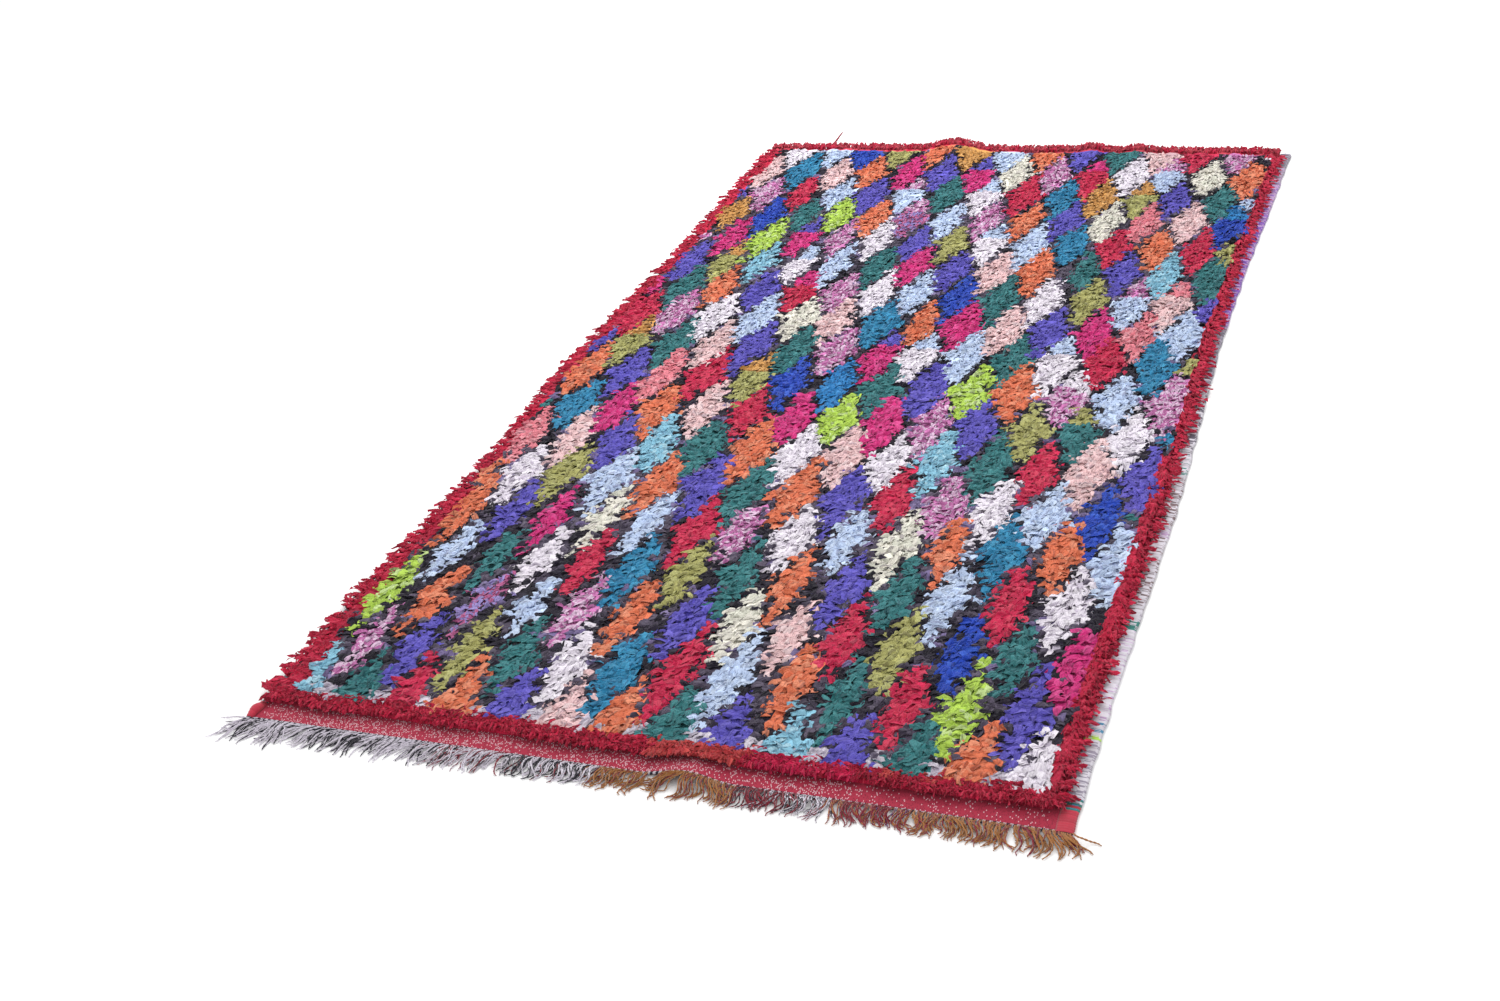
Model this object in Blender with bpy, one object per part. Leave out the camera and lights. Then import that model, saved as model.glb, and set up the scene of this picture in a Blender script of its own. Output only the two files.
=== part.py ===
"""A boucherouite rug: a knotted rag pile rug with a flat-woven end band and a cut warp fringe.

The rug lies on the ground plane, its width along X and its length along Y, with the fringed
end at -Y. The cloth is one lumpy slab with locks of pile at its left, right and far rims. The
fringe is a narrow strip parted from the band's edge, with the warp ends fused into it.
"""
import math
import random

import bmesh
import bpy

# Size of the woven cloth, from one side edge to the other and from the band to the far rim
CLOTH_WIDTH = 1.350
CLOTH_LENGTH = 2.584
FRINGE_REACH = 0.066
FAR_LOCK_REACH = 0.016

# The pattern's own steps, which the lumps of the pile follow
DIAMOND_PITCH = 0.0935
ROW_PITCH = 0.142

# Heights of the layers above the floor
PILE_HEIGHT = 0.0195
BAND_THICKNESS = 0.0035
SIDE_EDGE_THICKNESS = 0.0050
LUMP = 0.0060

# Widths of the strips round the pile
BAND_WIDTH = 0.044
PILE_SLOPE = 0.010
LEFT_EDGE_WIDTH = 0.010
RIGHT_EDGE_WIDTH = 0.022
BORDER_WIDTH = 0.045

# Waver of the two side edges: distance along the cloth, shift of the left edge, of the right edge
SIDE_WAVER = (
    (0.00, 0.000, 0.006),
    (0.30, -0.004, 0.004),
    (0.60, 0.005, 0.007),
    (0.90, 0.007, 0.008),
    (1.20, -0.009, -0.001),
    (1.50, -0.002, -0.010),
    (1.90, 0.008, -0.008),
    (2.25, 0.002, 0.002),
    (2.584, -0.004, 0.008),
)

# Places where the cloth lifts off the floor: across, edge of the cloth (0 near, 1 far),
# half width, reach into the cloth, height
RIPPLES = (
    (0.775, 0, 0.085, 0.10, 0.011),
    (0.515, 1, 0.100, 0.24, 0.020),
    (0.870, 1, 0.050, 0.12, 0.009),
    (0.985, 1, 0.045, 0.10, 0.007),
)

# Locks of pile at the rim: length, droop of the tip, width left at the middle and at the tip
LEFT_LOCK = (0.032, 0.003, 0.72, 0.34)
RIGHT_LOCK = (0.026, 0.002, 0.72, 0.34)
FAR_LOCK = (FAR_LOCK_REACH, 0.001, 0.72, 0.40)
LOCK_MIDDLE = 0.45
LOCK_UNEVEN = 0.45
LOCK_SPREAD = 0.008
SIDE_CUTS = 2
FAR_CUTS = 1

# Fringe: the strip, its strands, and how far each strand leans from straight, by place across
CLEARANCE = 0.0003
STRIP_WIDTH = 0.006
STRIP_THICKNESS = 0.0026
STRAND_COUNT = 148
STRAND_SHORTEST = 0.040
STRAND_SWAY = 0.0022
FRINGE_LEAN = (
    (0.000, -42.0),
    (0.035, -30.0),
    (0.120, -20.0),
    (0.500, -13.0),
    (0.900, -2.0),
    (1.230, 6.0),
    (1.315, 22.0),
    (1.350, 40.0),
)
# Along a strand: share of its length, share of its root's width, share of its root's thickness
STRAND_STEPS = (
    (0.30, 0.50, 0.85),
    (0.66, 0.38, 0.72),
    (1.00, 0.20, 0.50),
)

LEFT_SIDE = -CLOTH_WIDTH / 2
NEAR_SIDE = (FRINGE_REACH - FAR_LOCK_REACH - CLOTH_LENGTH) / 2
RED = (0.42, 0.012, 0.030, 1.0)
PILE_MIX = (0.15, 0.13, 0.36, 1.0)
WOOL_GREY = (0.34, 0.31, 0.38, 1.0)


def clear_scene():
    for old in list(bpy.data.objects):
        bpy.data.objects.remove(old)


def fabric(name, colour, roughness):
    material = bpy.data.materials.new(name)
    material.use_nodes = True
    shader = material.node_tree.nodes["Principled BSDF"]
    shader.inputs["Base Color"].default_value = colour
    shader.inputs["Roughness"].default_value = roughness
    shader.inputs["Metallic"].default_value = 0.0
    material.diffuse_color = colour
    return material


def read_table(table, place, column):
    """The value of a column at a place, in a straight line between the table's rows."""
    for low, high in zip(table, table[1:]):
        if place <= high[0]:
            share = max(0.0, (place - low[0]) / (high[0] - low[0]))
            return low[column] + share * (high[column] - low[column])
    return table[-1][column]


def smooth_step(share):
    share = min(1.0, max(0.0, share))
    return share * share * (3.0 - 2.0 * share)


def floor_lift(across, along):
    """How far the cloth's underside stands off the floor."""
    lift = 0.0
    for centre, edge, half_width, reach, height in RIPPLES:
        from_edge = abs(along - edge * CLOTH_LENGTH)
        rise = smooth_step(1.0 - abs(across - centre) / half_width)
        lift += height * rise * smooth_step(1.0 - from_edge / reach)
    return lift


def steps_between(start, end, pitch):
    """Evenly spaced places from start to end, about a pitch apart."""
    count = max(1, round((end - start) / pitch))
    return [start + (end - start) * i / count for i in range(count + 1)]


def columns_across():
    left_pile = LEFT_EDGE_WIDTH + PILE_SLOPE
    right_pile = CLOTH_WIDTH - RIGHT_EDGE_WIDTH - PILE_SLOPE
    pile = steps_between(left_pile, right_pile, DIAMOND_PITCH / 2)
    return [0.0, LEFT_EDGE_WIDTH] + pile + [CLOTH_WIDTH - RIGHT_EDGE_WIDTH, CLOTH_WIDTH]


def rows_along():
    pile = steps_between(BAND_WIDTH + PILE_SLOPE, CLOTH_LENGTH, ROW_PITCH / 2)
    return [0.0, BAND_WIDTH] + pile


def cloth_place(across, along):
    """Position of a place of the cloth on the ground, with the waver of its side edges."""
    left = read_table(SIDE_WAVER, along, 1)
    right = CLOTH_WIDTH + read_table(SIDE_WAVER, along, 2)
    return (
        LEFT_SIDE + left + (right - left) * across / CLOTH_WIDTH,
        NEAR_SIDE + along,
    )


def pile_top(columns, i, j, dice):
    """Thickness of the cloth at one point of its grid."""
    if j <= 1:
        return BAND_THICKNESS
    if i <= 1 or i >= len(columns) - 2:
        return SIDE_EDGE_THICKNESS
    crown = LUMP / 2 if (i + j) % 2 else -LUMP / 2
    return PILE_HEIGHT + crown + dice.uniform(-LUMP, LUMP) / 2


def cloth_slab(columns, rows):
    """The lumpy slab: a grid laid out on the floor, extruded up to the pile's surface."""
    bm = bmesh.new()
    across_steps = len(columns) - 1
    along_steps = len(rows) - 1
    bmesh.ops.create_grid(bm, x_segments=across_steps, y_segments=along_steps, size=1.0)
    column = bm.verts.layers.int.new("column")
    row = bm.verts.layers.int.new("row")
    for vert in bm.verts:
        i = round((vert.co.x + 1.0) / 2.0 * across_steps)
        j = round((vert.co.y + 1.0) / 2.0 * along_steps)
        x, y = cloth_place(columns[i], rows[j])
        vert.co = (x, y, floor_lift(columns[i], rows[j]))
        vert[column] = i
        vert[row] = j
    flat = [f for f in bm.faces if max(v.co.z for v in f.verts) < 1e-7]
    upper = bmesh.ops.extrude_face_region(bm, geom=bm.faces[:], use_keep_orig=True)["geom"]
    dice = random.Random(11)
    for vert in (g for g in upper if isinstance(g, bmesh.types.BMVert)):
        vert.co.z += pile_top(columns, vert[column], vert[row], dice)
    bmesh.ops.dissolve_faces(bm, faces=flat, use_verts=True)
    bmesh.ops.recalc_face_normals(bm, faces=bm.faces)
    return bm


def lies_between(face, x_low, x_high, y_low, y_high):
    centre = face.calc_center_median()
    return x_low < centre.x < x_high and y_low < centre.y < y_high


def split_rim(bm, faces, along_axis, cuts):
    """Cuts each rim face across into equal pieces and returns the pieces, in order."""
    edges = set()
    for face in faces:
        for edge in face.edges:
            run = abs(edge.verts[0].co[along_axis] - edge.verts[1].co[along_axis])
            if run > PILE_SLOPE * 1.5:
                edges.add(edge)
    keep = {f for f in bm.faces} - set(faces)
    bmesh.ops.subdivide_edges(bm, edges=list(edges), cuts=cuts, use_grid_fill=True)
    pieces = [f for f in bm.faces if f not in keep and len(f.verts) == 4]
    return sorted(pieces, key=lambda f: f.calc_center_median()[along_axis])


def draw_lock(bm, face, outward, lock, dice):
    """Draws one face of the rim out into a tapered lock of pile."""
    length, droop, middle, tip = lock
    length *= 1.0 - dice.uniform(0.0, LOCK_UNEVEN)
    sideways = dice.uniform(-LOCK_SPREAD, LOCK_SPREAD)
    centre = face.calc_center_median()
    corners = [v.co - centre for v in face.verts]
    for share, size in ((LOCK_MIDDLE, middle), (1.0, tip)):
        face = bmesh.ops.extrude_discrete_faces(bm, faces=[face])["faces"][0]
        for vert, corner in zip(face.verts, corners):
            vert.co.x = centre.x + corner.x * size
            vert.co.y = centre.y + corner.y * size
            vert.co.z = centre.z + corner.z * size - droop * share
            vert.co.x += outward[0] * length * share + abs(outward[1]) * sideways * share
            vert.co.y += outward[1] * length * share + abs(outward[0]) * sideways * share


def side_slopes(bm, x_low, x_high):
    """The sloping faces between a side edge and the pile."""
    pile_start = NEAR_SIDE + BAND_WIDTH + PILE_SLOPE
    far = NEAR_SIDE + CLOTH_LENGTH - 1e-4
    return [
        f for f in bm.faces
        if f.normal.z > 0.1 and lies_between(f, x_low, x_high, pile_start, far)
    ]


def rug_body():
    columns = columns_across()
    rows = rows_along()
    bm = cloth_slab(columns, rows)
    dice = random.Random(23)
    waver = 0.012
    left = LEFT_SIDE + LEFT_EDGE_WIDTH
    right = LEFT_SIDE + CLOTH_WIDTH - RIGHT_EDGE_WIDTH
    left_faces = [
        f for f in side_slopes(bm, left - waver, left + PILE_SLOPE + waver)
        if abs(f.normal.x) > 0.5
    ]
    right_faces = [
        f for f in side_slopes(bm, right - PILE_SLOPE - waver, right + waver)
        if abs(f.normal.x) > 0.5
    ]
    far_faces = [
        f for f in bm.faces
        if f.normal.y > 0.9 and lies_between(f, left + PILE_SLOPE, right - PILE_SLOPE, 1.0, 2.0)
    ]
    rims = (
        (left_faces, 1, SIDE_CUTS, (-1.0, 0.0), LEFT_LOCK),
        (right_faces, 1, SIDE_CUTS, (1.0, 0.0), RIGHT_LOCK),
        (far_faces, 0, FAR_CUTS, (0.0, 1.0), FAR_LOCK),
    )
    for faces, axis, cuts, outward, lock in rims:
        for face in split_rim(bm, faces, axis, cuts)[::2]:
            draw_lock(bm, face, outward, lock, dice)
    finish_mesh(bm, "rug_body", (fabric("rag_pile", PILE_MIX, 0.85), fabric("red_rag", RED, 0.85)))


def finish_mesh(bm, name, materials):
    """Turns a bmesh into a named object, its border faces in the second material."""
    inner = (
        LEFT_SIDE + BORDER_WIDTH,
        LEFT_SIDE + CLOTH_WIDTH - BORDER_WIDTH - RIGHT_EDGE_WIDTH,
        NEAR_SIDE + BAND_WIDTH + BORDER_WIDTH,
        NEAR_SIDE + CLOTH_LENGTH - BORDER_WIDTH,
    )
    if len(materials) > 1:
        for face in bm.faces:
            face.material_index = 0 if lies_between(face, *inner) else 1
    mesh = bpy.data.meshes.new(name)
    bm.to_mesh(mesh)
    bm.free()
    for material in materials:
        mesh.materials.append(material)
    thing = bpy.data.objects.new(name, mesh)
    parts.objects.link(thing)
    return thing


def strip_slab():
    """The fringe's backing, one cell of its length for each strand."""
    bm = bmesh.new()
    bmesh.ops.create_grid(bm, x_segments=STRAND_COUNT, y_segments=1, size=1.0)
    left, edge_y = cloth_place(0.0, 0.0)
    right, _ = cloth_place(CLOTH_WIDTH, 0.0)
    for vert in bm.verts:
        across = (vert.co.x + 1.0) / 2.0
        into = (vert.co.y - 1.0) / 2.0
        vert.co.x = left + (right - left) * across
        vert.co.y = edge_y - CLEARANCE + STRIP_WIDTH * into
        vert.co.z = floor_lift(across * CLOTH_WIDTH, 0.0)
    upper = bmesh.ops.extrude_face_region(bm, geom=bm.faces[:], use_keep_orig=True)["geom"]
    for vert in (g for g in upper if isinstance(g, bmesh.types.BMVert)):
        vert.co.z += STRIP_THICKNESS
    bmesh.ops.recalc_face_normals(bm, faces=bm.faces)
    return bm


def draw_strand(bm, face, dice):
    """Draws one face of the strip out into a tapered strand that lies level on the floor."""
    centre = face.calc_center_median()
    across = centre.x - LEFT_SIDE
    lean = math.radians(read_table(FRINGE_LEAN, across, 1) + dice.uniform(-1.6, 1.6))
    longest = FRINGE_REACH - STRIP_WIDTH - CLEARANCE
    length = dice.uniform(STRAND_SHORTEST, longest)
    sway = STRAND_SWAY * math.sin(across * 37.0)
    sides = [math.copysign(1.0, v.co.x - centre.x) for v in face.verts]
    tops = [v.co.z > centre.z for v in face.verts]
    half_width = max(v.co.x for v in face.verts) - centre.x
    for share, width, thickness in STRAND_STEPS:
        face = bmesh.ops.extrude_discrete_faces(bm, faces=[face])["faces"][0]
        out = length * share
        bend = sway * math.sin(math.pi * share)
        x = centre.x + out * math.sin(lean) + bend
        y = centre.y - out * math.cos(lean)
        for vert, side, top in zip(face.verts, sides, tops):
            vert.co.x = x + side * half_width * width * math.cos(lean)
            vert.co.y = y + side * half_width * width * math.sin(lean)
            vert.co.z = STRIP_THICKNESS * thickness if top else 0.0


def near_fringe():
    bm = strip_slab()
    dice = random.Random(5)
    front = [f for f in bm.faces if f.normal.y < -0.9]
    for face in sorted(front, key=lambda f: f.calc_center_median().x):
        draw_strand(bm, face, dice)
    finish_mesh(bm, "near_fringe", (fabric("warp_wool", WOOL_GREY, 0.9),))


clear_scene()
parts = bpy.data.collections.new("boucherouite_rug")
bpy.context.scene.collection.children.link(parts)
rug_body()
near_fringe()
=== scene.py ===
import math

import bpy
import numpy as np
from mathutils import Matrix, Vector


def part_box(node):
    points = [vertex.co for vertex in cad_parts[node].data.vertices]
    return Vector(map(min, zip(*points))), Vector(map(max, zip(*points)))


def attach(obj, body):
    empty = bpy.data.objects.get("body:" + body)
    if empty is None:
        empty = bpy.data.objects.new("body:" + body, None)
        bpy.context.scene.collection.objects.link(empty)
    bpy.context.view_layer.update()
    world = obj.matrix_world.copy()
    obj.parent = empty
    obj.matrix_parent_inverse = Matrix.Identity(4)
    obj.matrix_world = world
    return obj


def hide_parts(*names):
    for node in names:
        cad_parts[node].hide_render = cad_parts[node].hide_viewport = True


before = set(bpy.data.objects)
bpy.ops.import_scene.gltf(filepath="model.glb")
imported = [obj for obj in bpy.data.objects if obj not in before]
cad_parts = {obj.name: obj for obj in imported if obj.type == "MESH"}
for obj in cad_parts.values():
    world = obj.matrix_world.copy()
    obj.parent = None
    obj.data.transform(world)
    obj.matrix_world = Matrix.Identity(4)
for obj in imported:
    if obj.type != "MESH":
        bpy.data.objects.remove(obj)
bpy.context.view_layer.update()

# Camera, lights and floor. The camera stands low at the fringed end, to the right of the rug,
# and looks along it. The light is that of a white studio: bright all round, with one large
# soft lamp over the far half of the rug, a little to its left.
CAMERA_PLACE = Vector((1.1496, -3.2187, 1.7346))
CAMERA_AIM = Vector((-0.0867, -0.4731, 0.0))
CAMERA_ROLL = math.radians(-7.95)
LENS_MM = 44.92
SENSOR_MM = 36.0
LAMP_PLACE = Vector((-0.7, 1.4, 2.4))
LAMP_AIM = Vector((0.0, 0.9, 0.0))
LAMP_WATTS = 56.0
LAMP_SIZE = 1.8
STUDIO_STRENGTH = 1.12
WHITE = (1.0, 1.0, 1.0, 1.0)
FLOOR_SIZE = 40.0
FLOOR_PAINT = (0.9, 0.9, 0.9, 1.0)
FLOOR_ROUGHNESS = 0.9

scene = bpy.context.scene
scene.view_settings.view_transform = "Standard"
camera_data = bpy.data.cameras.new("camera")
camera_data.lens = LENS_MM
camera_data.sensor_width = SENSOR_MM
camera = bpy.data.objects.new("camera", camera_data)
scene.collection.objects.link(camera)
looking = (CAMERA_AIM - CAMERA_PLACE).to_track_quat("-Z", "Y").to_matrix().to_4x4()
camera.matrix_world = Matrix.Translation(CAMERA_PLACE) @ looking @ Matrix.Rotation(CAMERA_ROLL, 4, "Z")
scene.camera = camera

lamp_data = bpy.data.lights.new("studio_lamp", "AREA")
lamp_data.energy = LAMP_WATTS
lamp_data.size = LAMP_SIZE
lamp = bpy.data.objects.new("studio_lamp", lamp_data)
lamp.location = LAMP_PLACE
lamp.rotation_euler = (LAMP_AIM - LAMP_PLACE).to_track_quat("-Z", "Y").to_euler()
scene.collection.objects.link(lamp)

studio = bpy.data.worlds.new("studio")
studio.use_nodes = True
studio_light = studio.node_tree.nodes["Background"]
studio_light.inputs["Color"].default_value = WHITE
studio_light.inputs["Strength"].default_value = STUDIO_STRENGTH
scene.world = studio

bpy.ops.mesh.primitive_plane_add(size=FLOOR_SIZE)
floor = bpy.context.object
floor.name = "floor"
floor_paint = bpy.data.materials.new("floor_paint")
floor_paint.use_nodes = True
floor_shader = floor_paint.node_tree.nodes["Principled BSDF"]
floor_shader.inputs["Base Color"].default_value = FLOOR_PAINT
floor_shader.inputs["Roughness"].default_value = FLOOR_ROUGHNESS
floor.data.materials.append(floor_paint)

# The ground weave: the wool warp and weft that hold every knot, a thin cloth on the floor
# under the pile. It lifts off the floor in one ripple at the near edge and in three low waves
# at the far edge, and its side edges waver as they came off the loom.
CLOTH_WIDTH = 1.350
CLOTH_LENGTH = 2.584
WEAVE_THICKNESS = 0.0030
WEAVE_START = 0.0400
WEAVE_INSET = 0.0040
WEAVE_CELLS = (40, 80)
SIDE_WAVER = (  # distance along the cloth, shift of the left edge, shift of the right edge
    (0.00, 0.000, 0.006),
    (0.30, -0.004, 0.004),
    (0.60, 0.005, 0.007),
    (0.90, 0.007, 0.008),
    (1.20, -0.009, -0.001),
    (1.50, -0.002, -0.010),
    (1.90, 0.008, -0.008),
    (2.25, 0.002, 0.002),
    (2.584, -0.004, 0.008),
)
RIPPLES = (  # place across, edge of the cloth (0 near, 1 far), half width, reach inwards, height
    (0.775, 0, 0.080, 0.10, 0.014),
    (0.515, 1, 0.100, 0.24, 0.020),
    (0.870, 1, 0.050, 0.12, 0.009),
    (0.985, 1, 0.045, 0.10, 0.007),
)
WEAVE_COLOUR = (0.030, 0.026, 0.042, 1.0)
WEAVE_LIGHT = (0.110, 0.090, 0.140, 1.0)

LEFT_SIDE = -CLOTH_WIDTH / 2
NEAR_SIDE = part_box("rug_body")[0].y


class Value:
    """A number that varies over a surface. Sums and products of it add Math nodes."""

    def __init__(self, finish, socket):
        self.finish = finish
        self.socket = socket

    def maths(self, operation, first, second):
        made = self.finish.node("Math", {"operation": operation}, {"Value": first, "Value_001": second})
        return Value(self.finish, made.outputs["Value"])

    def __add__(self, other):
        return self.maths("ADD", self, other)

    def __sub__(self, other):
        return self.maths("SUBTRACT", self, other)

    def __rsub__(self, other):
        return self.maths("SUBTRACT", other, self)

    def __mul__(self, other):
        return self.maths("MULTIPLY", self, other)

    __radd__ = __add__
    __rmul__ = __mul__


class Finish:
    """A textile's material. Each of its shader nodes is made by the method node."""

    def __init__(self, name, roughness, sheen):
        self.material = bpy.data.materials.new(name)
        self.material.use_nodes = True
        self.tree = self.material.node_tree
        self.shader = self.tree.nodes["Principled BSDF"]
        self.shader.inputs["Roughness"].default_value = roughness
        self.shader.inputs["Specular IOR Level"].default_value = 0.25
        self.shader.inputs["Sheen Weight"].default_value = sheen
        self.shader.inputs["Sheen Roughness"].default_value = 0.5

    def node(self, kind, settings, sockets):
        made = self.tree.nodes.new("ShaderNode" + kind)
        for key, setting in settings.items():
            setattr(made, key, setting)
        for key, value in sockets.items():
            self.feed(next(s for s in made.inputs if s.identifier == key), value)
        return made

    def feed(self, socket, value):
        if isinstance(value, Value):
            value = value.socket
        if isinstance(value, bpy.types.NodeSocket):
            self.tree.links.new(value, socket)
        else:
            socket.default_value = value

    def times(self, first, second):
        """The product of two vectors or colours, part by part."""
        sockets = {"Vector": first, "Vector_001": second}
        return self.node("VectorMath", {"operation": "MULTIPLY"}, sockets).outputs["Vector"]

    def noise(self, scale, detail, grain=(1.0, 1.0, 1.0), place=None):
        """Uneven spots, drawn out along an axis where its grain is under 1."""
        if place is None:
            place = self.node("TexCoord", {}, {}).outputs["Object"]
        sockets = {"Scale": scale, "Detail": detail, "Vector": self.times(place, grain)}
        return Value(self, self.node("TexNoise", {}, sockets).outputs["Fac"])

    def mixed(self, share, first, second):
        """A colour between two, each a colour or a link to one."""
        sockets = {"Factor_Float": share, "A_Color": first, "B_Color": second}
        made = self.node("Mix", {"data_type": "RGBA"}, sockets)
        return next(s for s in made.outputs if s.identifier == "Result_Color")

    def painted_on(self, name):
        """The node that reads a value painted on the piece."""
        return self.node("Attribute", {"attribute_name": name}, {})

    def shaded(self, colour, share, shade):
        """A colour darkened by a shade where the share is high."""
        return self.mixed(share, colour, self.times(colour, shade))

    def raised(self, height, distance, strength):
        """Raises the surface by a bump."""
        sockets = {"Height": height, "Distance": distance, "Strength": strength}
        self.feed(self.shader.inputs["Normal"], self.node("Bump", {}, sockets).outputs["Normal"])


def column(table, place, index):
    """The value of a table's column at each place, in straight lines between its rows."""
    rows = np.array(table, float)
    return np.interp(place, rows[:, 0], rows[:, index])


def smooth_step(share):
    share = np.clip(share, 0.0, 1.0)
    return share * share * (3.0 - 2.0 * share)


def floor_lift(across, along):
    """How far the cloth's underside stands off the floor."""
    lift = np.zeros(np.broadcast(across, along).shape)
    for centre, edge, half_width, reach, height in RIPPLES:
        from_edge = np.abs(along - edge * CLOTH_LENGTH)
        rise = smooth_step(1.0 - np.abs(across - centre) / half_width)
        lift += height * rise * smooth_step(1.0 - from_edge / reach)
    return lift


def on_cloth(across, along, height):
    """Points at a height over the cloth's underside, in the frame."""
    left = column(SIDE_WAVER, along, 1)
    right = CLOTH_WIDTH + column(SIDE_WAVER, along, 2)
    x = LEFT_SIDE + left + (right - left) * across / CLOTH_WIDTH
    y = NEAR_SIDE + along
    z = floor_lift(np.clip(across, 0.0, CLOTH_WIDTH), np.clip(along, 0.0, CLOTH_LENGTH)) + height
    return np.stack(np.broadcast_arrays(x, y, z), -1)


def grid_faces(rows, columns, closed=False):
    """The four-sided faces between the points of a grid, row by row. Closed joins each row's ends."""
    i, j = np.meshgrid(np.arange(rows - 1), np.arange(columns if closed else columns - 1), indexing="ij")
    k = (j + 1) % columns
    return np.stack((i * columns + j, i * columns + k, (i + 1) * columns + k, (i + 1) * columns + j), -1)


def make_piece(name, points, faces, finish):
    """A piece of the rug from its points and four-sided faces, riding on the rug's body."""
    points = np.asarray(points, np.float32).reshape(-1, 3)
    faces = np.asarray(faces, np.int32).reshape(-1, 4)
    mesh = bpy.data.meshes.new(name)
    mesh.vertices.add(len(points))
    mesh.vertices.foreach_set("co", points.ravel())
    mesh.loops.add(faces.size)
    mesh.loops.foreach_set("vertex_index", faces.ravel())
    mesh.polygons.add(len(faces))
    mesh.polygons.foreach_set("loop_start", np.arange(0, faces.size, 4, dtype=np.int32))
    mesh.update(calc_edges=True)
    mesh.shade_smooth()
    mesh.materials.append(finish.material)
    piece = bpy.data.objects.new(name, mesh)
    scene.collection.objects.link(piece)
    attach(piece, "root")
    return piece


def closed_slab(across, along, bottom, top):
    """Points and faces of a thin closed slab of cloth over a grid of places."""
    u, v = np.meshgrid(across, along)
    under = on_cloth(u, v, bottom)
    over = on_cloth(u, v, top)
    rows, columns = u.shape
    count = rows * columns
    sheet = grid_faces(rows, columns).reshape(-1, 4)
    ring = np.concatenate((
        np.arange(columns - 1),
        np.arange(columns - 1, count - 1, columns),
        np.arange(count - 1, count - columns, -1),
        np.arange(count - columns, 0, -columns),
    ))
    after = np.roll(ring, -1)
    walls = np.stack((ring, after, after + count, ring + count), -1)
    points = np.concatenate((under.reshape(-1, 3), over.reshape(-1, 3)))
    return points, np.concatenate((sheet[:, ::-1], sheet + count, walls))


weave_finish = Finish("weave_finish", roughness=0.9, sheen=0.1)
knots = weave_finish.noise(scale=260.0, detail=2.0)
weave_tone = weave_finish.mixed(knots, WEAVE_COLOUR, WEAVE_LIGHT)
weave_finish.feed(weave_finish.shader.inputs["Base Color"], weave_tone)
weave_finish.raised(knots, distance=0.001, strength=0.6)
weave_points, weave_faces = closed_slab(
    np.linspace(WEAVE_INSET, CLOTH_WIDTH - WEAVE_INSET, WEAVE_CELLS[0] + 1),
    np.linspace(WEAVE_START, CLOTH_LENGTH, WEAVE_CELLS[1] + 1),
    0.0,
    WEAVE_THICKNESS,
)
weave = make_piece("ground_weave", weave_points, weave_faces, weave_finish)

# The side edges: the two outermost warps of each side, wrapped by the weft rags as they turn
# back. The left one is almost hidden by the border's pile. The right one shows as a ribbed
# cord in whatever rag was the weft at that height.
RIB_PITCH = 0.0052
RIB_STATIONS = 3
RIB_HEIGHT = 0.0009
EDGE_THICKNESS = 0.0070
EDGE_SIDES = 8
EDGE_WAVER = 0.0013
CORD_LOWEST = 0.0004
CORNER_LUMP = 0.0090  # the near left corner, where the band's edge is turned up
LUMP_PLACE = 0.0200
LUMP_REACH = 0.0160
WEFT_DRIFT = 0.0060
LEFT_EDGE = (0.0000, 0.0110)  # across, from and to
RIGHT_EDGE = (CLOTH_WIDTH - 0.0250, CLOTH_WIDTH + 0.0020)
# Painted shade between the fibres of the rags and yarns: its strength, and its near black colour
FIBRE_SHADE_SHARE = 0.3
FIBRE_GAP_SHADE = (0.020, 0.015, 0.020, 1.0)
WEFT_RAGS = {
    "red": (0.520, 0.030, 0.060),
    "green": (0.020, 0.200, 0.170),
    "white": (0.700, 0.660, 0.730),
    "grey": (0.330, 0.290, 0.370),
    "lime": (0.420, 0.680, 0.080),
    "blue": (0.060, 0.250, 0.420),
    "violet": (0.190, 0.060, 0.420),
    "brown": (0.200, 0.130, 0.140),
    "lilac": (0.520, 0.330, 0.560),
    "black": (0.130, 0.110, 0.150),
}
RIGHT_WEFTS = (  # from this distance along: main rag, second rag, share of the second
    (0.000, "red", "red", 0.0),
    (0.045, "green", "blue", 0.2),
    (0.070, "white", "grey", 0.3),
    (0.205, "lime", "white", 0.4),
    (0.222, "blue", "white", 0.5),
    (0.240, "white", "lilac", 0.15),
    (0.490, "green", "white", 0.3),
    (0.520, "white", "grey", 0.2),
    (0.550, "white", "brown", 0.3),
    (0.770, "lilac", "white", 0.5),
    (0.800, "white", "brown", 0.4),
    (0.980, "white", "green", 0.2),
    (1.060, "white", "black", 0.5),
    (1.350, "grey", "black", 0.3),
    (1.600, "violet", "lilac", 0.4),
    (2.200, "lilac", "violet", 0.3),
    (2.380, "grey", "lilac", 0.4),
    (2.480, "grey", "black", 0.3),
)
LEFT_WEFTS = (
    (0.000, "red", "red", 0.0),
    (0.040, "green", "grey", 0.3),
    (0.070, "grey", "brown", 0.4),
    (1.300, "black", "violet", 0.3),
)

dice = np.random.default_rng(7)


def waves(across, along, seed, shortest, longest):
    """A smooth uneven field over the cloth, from about -1 to 1."""
    turn = np.random.default_rng(seed)
    total = np.zeros(np.broadcast(across, along).shape)
    for k in range(6):
        angle, phase = turn.uniform(0.0, 2.0 * math.pi, 2)
        pitch = turn.uniform(shortest, longest)
        place = across * math.cos(angle) + along * math.sin(angle)
        total += np.sin(place * 2 * math.pi / pitch + phase)
    return total / 2.5


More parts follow.
